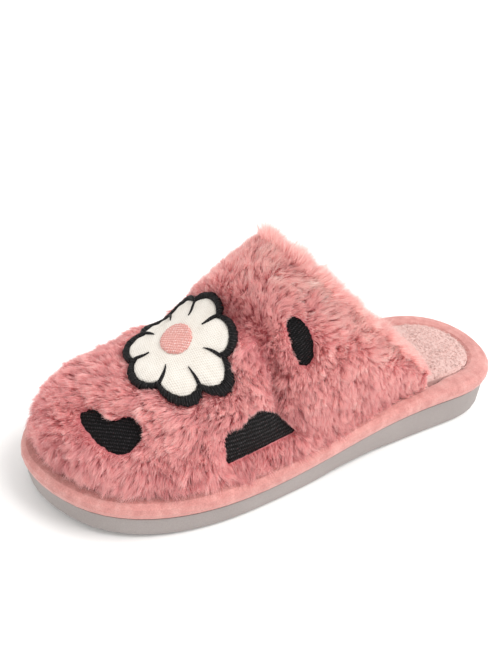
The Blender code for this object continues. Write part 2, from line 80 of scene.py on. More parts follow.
OUTLINE = [
    (0.000, 0.000, 0.000),
    (0.030, -0.015, 0.470),
    (0.100, -0.022, 0.716),
    (0.200, -0.026, 0.765),
    (0.350, -0.064, 0.766),
    (0.500, -0.074, 0.850),
    (0.620, -0.042, 0.952),
    (0.720, -0.011, 1.000),
    (0.820, 0.030, 0.958),
    (0.900, 0.080, 0.815),
    (0.960, 0.135, 0.545),
    (1.000, 0.190, 0.000),
]
RIDGE = [
    (0.15, 1.42),
    (0.30, 1.34),
    (0.45, 1.20),
    (0.565, 1.04),
    (0.62, 0.88),
    (0.66, 0.745),
    (0.70, 0.64),
    (0.74, 0.57),
    (0.80, 0.47),
    (0.85, 0.38),
    (0.90, 0.35),
    (0.95, 0.38),
    (1.00, 0.43),
]
FOLDS = [
    (0.615, -0.46, 210.0, 0.083, 0.0226, 0.0132),
    (0.700, 0.60, 150.0, 0.083, 0.0264, 0.0076),
]
# Creases that only show in the pile, in the same columns as the folds
CREASES = [
    (0.625, -0.40, 205.0, 0.085, 0.0180, 0.0150),
    (0.560, -0.78, 245.0, 0.055, 0.0190, 0.0060),
    (0.720, -0.66, 215.0, 0.060, 0.0220, 0.0050),
    (0.800, 0.30, 160.0, 0.083, 0.0260, 0.0045),
    (0.870, -0.35, 200.0, 0.068, 0.0226, 0.0045),
    (0.480, 0.80, 110.0, 0.068, 0.0226, 0.0050),
]
HEART = [
    (0.43, -1.00), (0.78, -0.72), (0.94, -0.10), (1.00, 0.34), (0.89, 0.80), (0.63, 1.00), (0.38, 0.94), (0.21, 0.66),
    (0.08, 0.34), (-0.20, 0.24), (-0.46, 0.32), (-0.77, 0.22), (-1.00, -0.22), (-0.86, -0.54), (-0.45, -0.81),
    (0.03, -0.98),
]
DOME = [
    (-1.00, -1.00), (-0.39, -0.86), (0.35, -0.72), (1.00, -0.66), (0.72, -0.06), (0.42, 0.50), (0.10, 0.87),
    (-0.13, 1.00), (-0.31, 0.83), (-0.51, 0.52), (-0.70, 0.40), (-0.94, 0.32),
]
OVAL = [
    (0.34, -1.00), (0.79, -0.96), (1.00, -0.60), (0.75, 0.08), (0.26, 0.60), (-0.25, 0.93), (-0.76, 1.00),
    (-1.00, 0.79), (-0.92, 0.42), (-0.57, -0.07), (-0.12, -0.66),
]
# name: round, up, half width, half height, outline, direction of the rows of thread in degrees
PATCHES = {
    "heart_patch": (0.417, 0.231, 1.40, 0.80, HEART, 24.0),
    "dome_patch": (0.235, 0.263, 1.81, 1.20, DOME, 4.0),
    "outer_oval_patch": (0.250, 0.780, 0.81, 1.00, OVAL, 62.0),
    "inner_oval_patch": (0.770, 0.640, 0.77, 1.00, OVAL, 62.0),
}
DAISY_PLACE = (0.468, 0.665)

# How far the pile at the hem spreads over the rim: shares round the hem, extra metres
HEM_DRAPE = (
    [0.00, 0.05, 0.30, 0.42, 0.58, 0.70, 1.00],
    [0.0022, 0.0028, 0.0028, 0.0000, -0.0006, 0.0018, 0.0020],
)

# The pile
BLADES = 268000
BLADES_A_PIECE = 60000
BLADE_WIDTH = 0.00027
CLUMP_SPACING = 0.0048
TUFT_SPACING = 0.0019
SEED = 11


def closed_spline(points, shares):
    points = np.asarray(points, float)
    count = len(points)
    following = np.roll(points, -1, 0)
    step = np.sqrt(np.linalg.norm(following - points, axis=1))
    before = np.roll(step, 1)
    matrix = np.zeros((count, count))
    for i in range(count):
        matrix[i, i - 1] += before[i]
        matrix[i, i] += 2 * (before[i] + step[i])
        matrix[i, (i + 1) % count] += step[i]
    slope = (following - points) / step[:, None]
    bend = np.linalg.solve(matrix, 6 * (slope - np.roll(slope, 1, 0)))
    knots = np.concatenate([[0], np.cumsum(step)])
    place = np.mod(np.asarray(shares, float), 1.0) * knots[-1]
    i = np.clip(np.searchsorted(knots, place, side="right") - 1, 0, count - 1)
    j = (i + 1) % count
    h = step[i][:, None]
    t = (place - knots[i])[:, None]
    rest = h - t
    curve = (
        (bend[i] * rest**3 + bend[j] * t**3) / (6 * h)
        + (points[i] / h - bend[i] * h / 6) * rest
        + (points[j] / h - bend[j] * h / 6) * t
    )
    tangent = (
        (bend[j] * t**2 - bend[i] * rest**2) / (2 * h)
        + (points[j] - points[i]) / h
        - (bend[j] - bend[i]) * h / 6
    )
    return curve, tangent


def smooth_step(value):
    value = np.clip(value, 0.0, 1.0)
    return value * value * (3 - 2 * value)


def unit(vectors):
    return vectors / np.maximum(np.linalg.norm(vectors, axis=-1, keepdims=True), 1e-12)


def outline_controls():
    half = BALL_WIDTH / 2
    rows = np.array(OUTLINE)
    y = (rows[:, 0] - 0.5) * LENGTH
    left = np.column_stack([(rows[:, 1] - rows[:, 2]) * half, y])
    right = np.column_stack([(rows[:, 1] + rows[:, 2]) * half, y])
    return np.vstack([left, right[-2:0:-1]])


def arm_table():
    points = CONTROLS
    step = np.sqrt(np.linalg.norm(np.roll(points, -1, 0) - points, axis=1))
    toe = step[: len(OUTLINE) - 1].sum() / step.sum()
    dense = np.linspace(0, 1, 1201)
    curve, _ = closed_spline(points, np.where(dense < 1, dense, 0.999999))
    run = np.concatenate([[0], np.cumsum(np.linalg.norm(np.diff(curve, axis=0), axis=1))])
    return dense, run, np.interp(toe, dense, run)


def arm_shares(shares):
    dense, run, toe_run = ARMS
    shares = np.asarray(shares, float)
    wanted = np.where(shares <= 0.5, shares * 2 * toe_run, toe_run + (shares - 0.5) * 2 * (run[-1] - toe_run))
    return np.interp(wanted, run, dense)


CONTROLS = outline_controls()
_box, _ = closed_spline(CONTROLS, np.linspace(0, 1, 2000, endpoint=False))
SHIFT = (_box.min(0) + _box.max(0)) / 2
CONTROLS = CONTROLS - SHIFT
HEEL_Y = _box[:, 1].min() - SHIFT[1]
ARMS = arm_table()


def outline(shares, inset):
    curve, tangent = closed_spline(CONTROLS, arm_shares(shares))
    tangent = tangent / np.linalg.norm(tangent, axis=1)[:, None]
    inward = np.column_stack([tangent[:, 1], -tangent[:, 0]])
    return curve + inward * np.reshape(inset, (-1, 1))


def along(y):
    return (np.asarray(y) - HEEL_Y) / LENGTH


def sole_top(y):
    s = along(y)
    heel = 1 - smooth_step((s - 0.22) / 0.44)
    toe = np.clip((s - 0.70) / 0.30, 0, 1) ** 2
    return BALL_THICKNESS + (HEEL_THICKNESS - BALL_THICKNESS) * heel + TOE_SPRING * toe


def wrap_base(y):
    return sole_top(y) + GAP


def ledge(y):
    return wrap_base(y) + LEDGE_HEIGHT


def hem_top(y):
    return wrap_base(y) + WRAP_HEIGHT + 2 * GAP


END_STATION = int(np.argmin(np.abs(along(outline(np.arange(STATIONS // 2) / STATIONS, 0.0)[:, 1]) - QUARTER_END_SHARE)))


def hem_shares(u):
    start = END_STATION / STATIONS
    return start + (1 - 2 * start) * np.asarray(u, float)


_side = np.linspace(0.0, 0.5, 400)
HEM_LEFT = outline(_side, HEM_INSET)
HEM_RIGHT = outline(1 - _side, HEM_INSET)


def inner_half(y):
    x_left = np.interp(y, HEM_LEFT[:, 1], HEM_LEFT[:, 0])
    x_right = np.interp(y, HEM_RIGHT[:, 1], HEM_RIGHT[:, 0])
    return (x_left + x_right) / 2, np.maximum((x_right - x_left) / 2, 1e-5)


def dome_height(y):
    rows = np.array(RIDGE)
    s = along(y)
    blur = np.linspace(-0.03, 0.03, 7)
    smooth = np.mean([np.interp(s + b, rows[:, 0], rows[:, 1]) for b in blur], axis=0)
    tip = outline([0.5], HEM_INSET)[0, 1]
    back = np.clip((tip - np.asarray(y)) / TOE_ROUND, 0, 1)
    return INSTEP_HEIGHT * smooth * (1 - (1 - back) ** SECTION_POWER) ** (1 / SECTION_POWER)


def collar_plan(u):
    q = 2 * u - 1
    hem = outline(hem_shares(u), HEM_INSET)
    end_y = outline([hem_shares(0.0), hem_shares(1.0)], HEM_INSET)[:, 1]
    end = np.where(q < 0, end_y[0], end_y[1])
    top = HEEL_Y + COLLAR_TOP_SHARE * LENGTH
    back = np.abs(q) ** COLLAR_SWEEP
    y = top + (end - top) * back
    centre, half = inner_half(y)
    top_z = hem_top(top) + dome_height(top)
    z = top_z + (hem_top(end) + QUARTER_END_HEIGHT - top_z) * back
    level = np.clip((z - hem_top(y)) / dome_height(y), 0, 1)
    across = (1 - level**SECTION_POWER) ** (1 / SECTION_POWER)
    return np.column_stack([centre + np.sign(q) * half * across, y]), hem


def last(u, v):
    u, v = np.broadcast_arrays(np.asarray(u, float), np.asarray(v, float))
    shape, u, v = u.shape, u.ravel(), v.ravel()
    collar, hem = collar_plan(u)
    ease = 1.35 + 0.75 * np.abs(2 * u - 1) ** 1.5
    rise = np.clip(v, 0, 1.2) ** ease
    plan = hem + (collar - hem) * rise[:, None]
    centre, half = inner_half(plan[:, 1])
    across = np.clip(np.abs(plan[:, 0] - centre) / half, 0, 1)
    z = hem_top(plan[:, 1]) + dome_height(plan[:, 1]) * (1 - across**SECTION_POWER) ** (1 / SECTION_POWER)
    return np.column_stack([plan, z]).reshape(shape + (3,))


def directions(u, v):
    u, v = np.broadcast_arrays(np.asarray(u, float), np.asarray(v, float))
    du, dv = 0.006, 0.03
    low, high = np.clip(v - dv, 0.002, 1), np.clip(v + dv, 0, 1)
    row = np.clip(v, 0.02, 1)
    round_hem = unit(last(np.clip(u + du, 0, 1), row) - last(np.clip(u - du, 0, 1), row))
    up_rib = unit(last(u, high) - last(u, low))
    return round_hem, up_rib, unit(np.cross(up_rib, round_hem))


def fold_depth(points, rows):
    depth = np.zeros(points.shape[:-1])
    height = points[..., 2] - hem_top(points[..., 1])
    for share, across, turn, length, width, drop in rows:
        dx = points[..., 0] - across * BALL_WIDTH / 2
        dy = points[..., 1] - (HEEL_Y + share * LENGTH)
        angle = math.radians(turn)
        run = dx * math.cos(angle) + dy * math.sin(angle)
        off = -dx * math.sin(angle) + dy * math.cos(angle)
        depth += drop * LENGTH * np.exp(-((off / (width * LENGTH)) ** 2) - (run / (length * LENGTH)) ** 4)
    return depth * smooth_step((height - FOLD_CLEAR) / FOLD_FADE)


def upper_at(u, v, level):
    base = last(u, v)
    outwards = directions(u, v)[2]
    lift = np.asarray(level) - fold_depth(base, FOLDS)
    return base + outwards * lift[..., None]


# ---- the upper's surface on a fine grid, read by interpolation
GU, GV = 361, 121
_u, _v = np.meshgrid(np.linspace(0, 1, GU), np.linspace(0, 1, GV), indexing="ij")
_base = last(_u, _v)
_round, _up, _out = directions(_u, _v)
GRID_POINT = _base - _out * (fold_depth(_base, FOLDS) + fold_depth(_base, CREASES) * 0.6)[..., None]
GRID = {"point": GRID_POINT, "round": _round, "up": _up, "out": _out}


def read_grid(name, u, v):
    a = GRID[name]
    x, y = np.clip(u, 0, 1) * (GU - 1), np.clip(v, 0, 1) * (GV - 1)
    i, j = np.minimum(x.astype(int), GU - 2), np.minimum(y.astype(int), GV - 2)
    fx, fy = (x - i)[:, None], (y - j)[:, None]
    return (
        a[i, j] * (1 - fx) * (1 - fy) + a[i + 1, j] * fx * (1 - fy)
        + a[i, j + 1] * (1 - fx) * fy + a[i + 1, j + 1] * fx * fy
    )


def scatter(rng, count, v_low=0.0, v_high=1.0):
    """Places (u, v) spread evenly over the upper's area between two rows."""
    p = GRID_POINT
    du = np.linalg.norm(p[1:, :-1] - p[:-1, :-1], axis=-1)
    dv = np.linalg.norm(p[:-1, 1:] - p[:-1, :-1], axis=-1)
    area = du * dv
    row = (np.arange(GV - 1) + 0.5) / (GV - 1)
    area = area * ((row >= v_low) & (row <= v_high))[None]
    total = np.cumsum(area.ravel())
    pick = np.searchsorted(total, rng.random(count) * total[-1])
    i, j = np.unravel_index(np.minimum(pick, area.size - 1), area.shape)
    return (i + rng.random(count)) / (GU - 1), (j + rng.random(count)) / (GV - 1)


def wave_noise(points, wavelength, seed):
    """Smooth noise from -1 to 1, as a sum of sines."""
    rng = np.random.default_rng(seed)
    total = np.zeros(len(points))
    for _ in range(7):
        way = rng.normal(size=3)
        way *= 2 * math.pi / (wavelength * rng.uniform(0.7, 1.6)) / np.linalg.norm(way)
        total += np.sin(points @ way + rng.uniform(0, 2 * math.pi))
    return total / 3.0


def nearest(points, centres):
    tree = kdtree.KDTree(len(centres))
    for k, c in enumerate(centres):
        tree.insert(c, k)
    tree.balance()
    return np.array([tree.find(p)[1] for p in points])


def patch_frame(place):
    u0, v0 = place
    origin = last(u0, v0)
    round_hem, _, outwards = directions(u0, v0)
    rightwards = -round_hem
    return origin, rightwards, np.cross(outwards, rightwards), outwards


def place_on_upper(place, local):
    origin, rightwards, upwards, _ = patch_frame(place)
    u = np.full(len(local), place[0])
    v = np.full(len(local), place[1])
    small = 1e-4

    def offsets(u, v):
        apart = last(u, v) - origin
        return np.column_stack([apart @ rightwards, apart @ upwards])

    for _ in range(12):
        now = offsets(u, v)
        by_u = (offsets(u + small, v) - now) / small
        by_v = (offsets(u, v + small) - now) / small
        missing = local - now
        scale = by_u[:, 0] * by_v[:, 1] - by_u[:, 1] * by_v[:, 0]
        step_u = (missing[:, 0] * by_v[:, 1] - missing[:, 1] * by_v[:, 0]) / scale
        step_v = (missing[:, 1] * by_u[:, 0] - missing[:, 0] * by_u[:, 1]) / scale
        u = np.clip(u + np.clip(step_u, -0.05, 0.05), 0.01, 0.99)
        v = np.clip(v + np.clip(step_v, -0.15, 0.15), 0.02, 0.98)
    return u, v


def patch_outline(rows, half_width, half_height):
    corners = np.asarray(rows) * [half_width * PATCH_SIZE, half_height * PATCH_SIZE]
    following = np.roll(corners, -1, 0)
    first = corners + (following - corners) * CORNER_CUT
    later = corners + (following - corners) * (1 - CORNER_CUT)
    return np.stack([first, later], axis=1).reshape(-1, 2)


def daisy_outline(radius, a_petal=6):
    angle = np.arange(a_petal * DAISY_PETALS) / (a_petal * DAISY_PETALS) * 2 * math.pi
    scallop = np.abs(np.cos(angle * DAISY_PETALS / 2)) ** 0.8
    reach = radius * (1 - PETAL_NOTCH * (1 - scallop))
    return np.column_stack([reach * np.cos(angle), reach * np.sin(angle)])


def grown(local, amount):
    tangent = unit(np.roll(local, -1, 0) - np.roll(local, 1, 0))
    return local + np.column_stack([tangent[:, 1], -tangent[:, 0]]) * amount


def inside(points, polygon):
    """Which 2-D points lie inside a polygon."""
    x, y = points[:, 0], points[:, 1]
    a, b = polygon, np.roll(polygon, -1, 0)
    result = np.zeros(len(points), bool)
    for (ax, ay), (bx, by) in zip(a, b):
        crosses = (ay > y) != (by > y)
        with np.errstate(divide="ignore", invalid="ignore"):
            at = ax + (y - ay) * (bx - ax) / (by - ay)
        result ^= crosses & (x < at)
    return result


# ---- meshes
def new_object(name, mesh, material):
    mesh.materials.append(material)
    piece = bpy.data.objects.new(name, mesh)
    bpy.context.scene.collection.objects.link(piece)
    return piece


def mesh_from(name, points, faces, material, smooth=True):
    mesh = bpy.data.meshes.new(name)
    mesh.from_pydata([tuple(map(float, p)) for p in points], [], [[int(i) for i in f] for f in faces])
    mesh.update()
    if smooth:
        mesh.shade_smooth()
    return new_object(name, mesh, material)


def colour_points(mesh, name, values):
    layer = mesh.color_attributes.new(name, "FLOAT_COLOR", "POINT")
    rgba = np.ones((len(values), 4), np.float32)
    rgba[:, :3] = np.clip(values, 0, 1)
    layer.data.foreach_set("color", rgba.ravel())


def number_points(mesh, name, values):
    layer = mesh.attributes.new(name, "FLOAT_VECTOR", "POINT")
    layer.data.foreach_set("vector", np.ascontiguousarray(values, np.float32).ravel())


def blades(name, path, side, width, colour, material):
    """Joined hairs. path is (hair, step, 3), side (hair, 3), width (hair), colour (hair, step, 3).

    Each hair is a strip of quads that narrows to a point.
    """
    count, steps = path.shape[:2]
    shares = np.linspace(0, 1, steps)[:-1]
    taper = (1 - shares**1.6 * 0.72)[None, :, None]
    half = side[:, None] * (width[:, None, None] / 2) * taper
    left = path[:, :-1] - half
    right = path[:, :-1] + half
    a = 2 * (steps - 1) + 1
    points = np.empty((count, a, 3))
    points[:, 0:-1:2] = left
    points[:, 1:-1:2] = right
    points[:, -1] = path[:, -1]
    shade = np.empty((count, a, 3))
    shade[:, 0:-1:2] = colour[:, :-1]
    shade[:, 1:-1:2] = colour[:, :-1]
    shade[:, -1] = colour[:, -1]
    quads = [[2 * k, 2 * k + 1, 2 * k + 3, 2 * k + 2] for k in range(steps - 2)]
    start = (np.arange(count) * a)[:, None]
    quad = (start[:, :, None] + np.array(quads)[None]).reshape(count, -1)
    tri = start + np.array([a - 3, a - 2, a - 1])[None]
    loops = np.concatenate([quad, tri], axis=1).ravel()
    sizes = np.tile([4] * len(quads) + [3], count)
    mesh = bpy.data.meshes.new(name)
    mesh.vertices.add(count * a)
    mesh.vertices.foreach_set("co", points.astype(np.float32).ravel())
    mesh.loops.add(len(loops))
    mesh.loops.foreach_set("vertex_index", loops.astype(np.int32))
    mesh.polygons.add(len(sizes))
    mesh.polygons.foreach_set("loop_start", np.concatenate([[0], np.cumsum(sizes)[:-1]]).astype(np.int32))
    mesh.update(calc_edges=True)
    mesh.shade_smooth()
    colour_points(mesh, "Hair", shade.reshape(-1, 3))
    return new_object(name, mesh, material)


# ---- materials
class Nodes:
    """A short way to build a material's nodes."""

    def __init__(self, name, roughness, sheen=0.0, specular=0.3, sheen_roughness=0.5, sheen_tint=(1, 1, 1)):
        self.material = bpy.data.materials.new(name)
        self.material.use_nodes = True
        self.tree = self.material.node_tree
        self.shader = self.tree.nodes["Principled BSDF"]
        self.shader.inputs["Roughness"].default_value = roughness
        self.shader.inputs["Specular IOR Level"].default_value = specular
        self.shader.inputs["Sheen Weight"].default_value = sheen
        self.shader.inputs["Sheen Roughness"].default_value = sheen_roughness
        self.shader.inputs["Sheen Tint"].default_value = (*sheen_tint, 1)

    def add(self, kind, **values):
        node = self.tree.nodes.new(kind)
        for key, value in values.items():
            if key in node.inputs:
                node.inputs[key].default_value = value
            else:
                setattr(node, key.lower(), value)
        return node

    def link(self, a, b):
        self.tree.links.new(a, b)

    def coords(self):
        return self.add("ShaderNodeTexCoord").outputs["Object"]

    def attribute(self, name):
        return self.add("ShaderNodeAttribute", attribute_name=name)

    def noise(self, scale, detail=2.0, roughness=0.5, vector=None):
        node = self.add("ShaderNodeTexNoise", Scale=scale, Detail=detail, Roughness=roughness)
        self.link(vector if vector is not None else self.coords(), node.inputs["Vector"])
        return node.outputs["Fac"]

    def ramp(self, value, stops):
        node = self.add("ShaderNodeValToRGB")
        node.color_ramp.elements.remove(node.color_ramp.elements[1])
        for k, (at, colour) in enumerate(stops):
            stop = node.color_ramp.elements[0] if k == 0 else node.color_ramp.elements.new(at)
            stop.position = at
            stop.color = (*colour, 1)
        self.link(value, node.inputs["Fac"])
        return node.outputs["Color"]

    def mix(self, kind, fac, a, b):
        node = self.add("ShaderNodeMix", data_type="RGBA", blend_type=kind)
        for value, place in ((fac, 0), (a, 6), (b, 7)):
            if hasattr(value, "is_output"):
                self.link(value, node.inputs[place])
            else:
                node.inputs[place].default_value = value if place == 0 else (*value, 1)
        return node.outputs[2]

    def math(self, kind, a, b=0.0):
        node = self.add("ShaderNodeMath", operation=kind)
        for value, place in ((a, 0), (b, 1)):
            if hasattr(value, "is_output"):
                self.link(value, node.inputs[place])
            else:
                node.inputs[place].default_value = value
        return node.outputs[0]

    def bump(self, height, distance, strength=1.0, under=None):
        node = self.add("ShaderNodeBump", Distance=distance, Strength=strength)
        self.link(height, node.inputs["Height"])
        if under is not None:
            self.link(under, node.inputs["Normal"])
        return node.outputs["Normal"]

    def finish(self, colour=None, normal=None, roughness=None):
        if colour is not None:
            self.link(colour, self.shader.inputs["Base Color"])
        if normal is not None:
            self.link(normal, self.shader.inputs["Normal"])
        if roughness is not None:
            self.link(roughness, self.shader.inputs["Roughness"])
        return self.material


def make_hair(name, share_through):
    m = Nodes(name, 0.85, specular=0.0)
    colour = m.attribute("Hair").outputs["Color"]
    through = m.add("ShaderNodeBsdfTranslucent")
    m.link(colour, through.inputs["Color"])
    both = m.add("ShaderNodeMixShader", Fac=share_through)
    m.finish(colour)
    m.link(m.shader.outputs[0], both.inputs[1])
    m.link(through.outputs[0], both.inputs[2])
    m.link(both.outputs[0], m.tree.nodes["Material Output"].inputs["Surface"])
    return m.material


def make_cloth(name, dark, light, scale, depth):
    m = Nodes(name, 0.9, sheen=0.2, specular=0.15)
    fine = m.noise(scale, 4.0, 0.6)
    broad = m.noise(scale * 0.08, 2.0)
    colour = m.ramp(m.math("ADD", m.math("MULTIPLY", fine, 0.6), m.math("MULTIPLY", broad, 0.4)), [(0.3, dark), (0.7, light)])
    return m.finish(colour, m.bump(fine, depth))


def make_foam():
    m = Nodes("foam_sole", 0.78, specular=0.3)
    speck = m.noise(1900.0, 3.0, 0.7)
    cloud = m.noise(38.0, 3.0, 0.5)
    grain = m.noise(620.0, 2.0, 0.5)
    base = m.ramp(cloud, [(0.30, (0.330, 0.296, 0.284)), (0.70, (0.368, 0.332, 0.320))])
    colour = m.mix("MULTIPLY", 1.0, base, m.ramp(speck, [(0.30, (0.86, 0.86, 0.86)), (0.55, (1, 1, 1)), (0.75, (1.06, 1.06, 1.06))]))
    fine = m.bump(speck, 0.00010, 0.6)
    rough = m.math("ADD", m.math("MULTIPLY", cloud, 0.16), 0.68)
    return m.finish(colour, m.bump(grain, 0.00012, 0.7, fine), rough)


def make_velour():
    m = Nodes("velour", 0.82, sheen=0.45, specular=0.18, sheen_roughness=0.45, sheen_tint=(1.0, 0.86, 0.82))
    nap = m.noise(1500.0, 3.0, 0.65)
    brushed = m.noise(190.0, 3.0, 0.6)
    broad = m.noise(45.0, 2.0)
    base = m.ramp(brushed, [(0.30, (0.560, 0.245, 0.225)), (0.52, (0.640, 0.305, 0.278)), (0.72, (0.710, 0.380, 0.348))])
    shade = m.ramp(broad, [(0.3, (0.92, 0.90, 0.90)), (0.7, (1.04, 1.03, 1.03))])
    colour = m.mix("MULTIPLY", 1.0, base, shade)
    colour = m.mix("MULTIPLY", 0.55, colour, m.ramp(nap, [(0.32, (0.72, 0.66, 0.66)), (0.6, (1.08, 1.06, 1.06))]))
    return m.finish(colour, m.bump(nap, 0.00030, 0.8, m.bump(brushed, 0.0006, 0.5)))


def make_thread(name, dark, light, roughness, spacing, specular=0.4, slant_share=0.42):
    """Rows of stitches read from the Thread attribute: x along a row and y across the rows, in metres."""
    m = Nodes(name, roughness, specular=specular)
    place = m.attribute("Thread").outputs["Vector"]
    split = m.add("ShaderNodeSeparateXYZ")
    m.link(place, split.inputs[0])
    wobble = m.math("MULTIPLY", m.math("SUBTRACT", m.noise(260.0, 2.0, 0.5), 0.5), spacing * 0.8)
    across = m.math("ADD", split.outputs[1], wobble)
    rows = m.math("MULTIPLY", across, 2 * math.pi / spacing)
    ridge = m.math("ADD", m.math("MULTIPLY", m.math("SINE", rows), 0.5), 0.5)
    step = 2 * math.pi / max(spacing * slant_share, 0.0009)
    slant = m.math("ADD", m.math("MULTIPLY", split.outputs[0], step), m.math("MULTIPLY", rows, 0.7))
    strand = m.math("ADD", m.math("MULTIPLY", m.math("SINE", slant), 0.5), 0.5)
    # Painted glints: the brightest spots of this noise are put into the thread's colour as speckles.
    glint = m.noise(1500.0, 2.0, 0.8)
    body = m.math("ADD", m.math("MULTIPLY", ridge, 0.45), m.math("MULTIPLY", strand, 0.35))
    speck = m.math("MAXIMUM", m.math("MULTIPLY", m.math("SUBTRACT", glint, 0.44), 3.0), 0.0)
    both = m.math("ADD", m.math("MULTIPLY", body, 0.62), m.math("MULTIPLY", speck, m.math("ADD", body, 0.15)))
    # The colour is painted shade and highlight: darker in the grooves between rows and stitches, lighter on their tops,
    # and brightest at the painted glints.
    colour = m.ramp(both, [(0.12, dark), (0.60, light), (1.0, tuple(min(c * 4.5, 0.9) for c in light))])
    return m.finish(colour, m.bump(body, spacing * 0.36, 1.0, m.bump(glint, 0.0006, 0.7)))


def make_felt():
    m = Nodes("white_felt_cloth", 0.88, sheen=0.15, specular=0.15)
    place = m.attribute("Thread").outputs["Vector"]
    split = m.add("ShaderNodeSeparateXYZ")
    m.link(place, split.inputs[0])
    bend = m.math("MULTIPLY", m.math("SUBTRACT", m.noise(150.0, 2.0, 0.5), 0.5), 0.0012)
    warp = m.math("SINE", m.math("MULTIPLY", m.math("ADD", split.outputs[0], bend), 2 * math.pi / 0.0015))
    weft = m.math("SINE", m.math("MULTIPLY", m.math("ADD", split.outputs[1], bend), 2 * math.pi / 0.0012))
    weave = m.math("ADD", m.math("MULTIPLY", m.math("MULTIPLY", warp, weft), 0.5), 0.5)
    fibre = m.noise(1100.0, 4.0, 0.7)
    slub = m.noise(130.0, 3.0, 0.6)
    value = m.math("ADD", m.math("MULTIPLY", weave, 0.30), m.math("ADD", m.math("MULTIPLY", fibre, 0.35), m.math("MULTIPLY", slub, 0.35)))
    colour = m.ramp(value, [(0.28, (0.64, 0.58, 0.51)), (0.48, (0.76, 0.715, 0.65)), (0.70, (0.83, 0.80, 0.745))])
    return m.finish(colour, m.bump(value, 0.0006, 1.0))


HAIR = make_hair("plush_hair", 0.5)
NAP = make_hair("fleece_nap", 0.15)
UNDER = make_cloth("plush_backing", (0.56, 0.170, 0.185), (0.70, 0.270, 0.280), 900.0, 0.0006)
LINING = make_cloth("fleece_lining", (0.62, 0.27, 0.25), (0.80, 0.43, 0.39), 700.0, 0.0008)
FLEECE = make_cloth("fleece_footbed", (0.66, 0.44, 0.405), (0.72, 0.50, 0.465), 520.0, 0.0004)
# Of the two colours given to each thread, the lighter one is the painted highlight on the stitches' tops, and it is
# scaled up for the painted glints.
BLACK = make_thread("black_stitching", (0.0012, 0.0011, 0.0012), (0.012, 0.011, 0.012), 0.6, 0.0013, 0.10)
RIBBED = make_thread("black_ribbed_stitching", (0.0012, 0.0011, 0.0012), (0.021, 0.020, 0.021), 0.6, 0.0020, 0.12)
SATIN = make_thread("black_satin_border", (0.0012, 0.0011, 0.0012), (0.014, 0.013, 0.014), 0.5, 0.0010, 0.16, 6.0)
BLUSH = make_thread("blush_stitching", (0.66, 0.27, 0.24), (0.86, 0.47, 0.42), 0.6, 0.0012)
FELT = make_felt()


def ride(piece, slot, *nodes):
    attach(piece, "root")
    if nodes:
        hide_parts(*nodes)
    return piece


# ---- the sole's pieces keep their solids and get their own finish
def finish_node(name, material):
    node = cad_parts[name]
    node.data.materials.clear()
    node.data.materials.append(material)
    return node


finish_node("outsole", make_foam())
finish_node("midsole_wrap", make_velour())


# ---- cloth of the upper: outer face, collar edge, lining and feet in the tray
def make_upper_cloth():
    columns, rows = 181, 48
    u = np.linspace(0, 1, columns)
    up = np.linspace(0, 1, rows)
    gu, gv = np.meshgrid(u, up, indexing="ij")

    def at(level):
        p = read_grid("point", gu.ravel(), gv.ravel()) + read_grid("out", gu.ravel(), gv.ravel()) * level
        return p.reshape(columns, rows, 3)

    outer, inner = at(CLOTH + 0.0008), at(0.0)
    feet_out = outline(hem_shares(u), HEM_INSET - CLOTH)
    feet_in = outline(hem_shares(u), HEM_INSET)
    foot_out = np.column_stack([feet_out, ledge(feet_out[:, 1]) + GAP])
    foot_in = np.column_stack([feet_in, ledge(feet_in[:, 1]) + GAP])
    edge = (outer[:, -1] + inner[:, -1]) / 2 + read_grid("up", u, np.ones(columns)) * CLOTH * 0.5
    lines = [foot_out] + [outer[:, r] for r in range(rows)] + [edge]
    seam = len(lines)
    lines += [inner[:, r] for r in reversed(range(rows))] + [foot_in]
    count = len(lines)
    faces = []
    for r in range(count):
        low, high = r * columns, ((r + 1) % count) * columns
        for i in range(columns - 1):
            faces.append([low + i, high + i, high + i + 1, low + i + 1])
    faces.append([r * columns for r in range(count)][::-1])
    faces.append([r * columns + columns - 1 for r in range(count)])
    piece = mesh_from("plush_cloth", np.vstack(lines), faces, UNDER)
    piece.data.materials.append(LINING)
    slots = np.zeros(len(piece.data.polygons), np.int32)
    slots[(seam - 1) * (columns - 1):] = 1
    piece.data.polygons.foreach_set("material_index", slots)
    return ride(piece, "pink_plush", "upper")


make_upper_cloth()

# ---- patches
PATCH_SHAPES = {}
for _name, (_pu, _pv, _hw, _hh, _rows, _turn) in PATCHES.items():
    PATCH_SHAPES[_name] = ((_pu, _pv), patch_outline(_rows, _hw, _hh))
PATCH_SHAPES["daisy"] = (DAISY_PLACE, daisy_outline(DAISY_RADIUS + DAISY_BORDER))


def resample(loop, spacing):
    """A closed loop with points about spacing apart."""
    ends = np.vstack([loop, loop[:1]])
    run = np.concatenate([[0], np.cumsum(np.linalg.norm(np.diff(ends, axis=0), axis=1))])
    count = max(12, int(round(run[-1] / spacing)))
    at = np.arange(count) / count * run[-1]
    return np.column_stack([np.interp(at, run, ends[:, k]) for k in range(2)])


def lifted(place, local, level):
    u, v = place_on_upper(place, local)
    return upper_at(u, v, level)


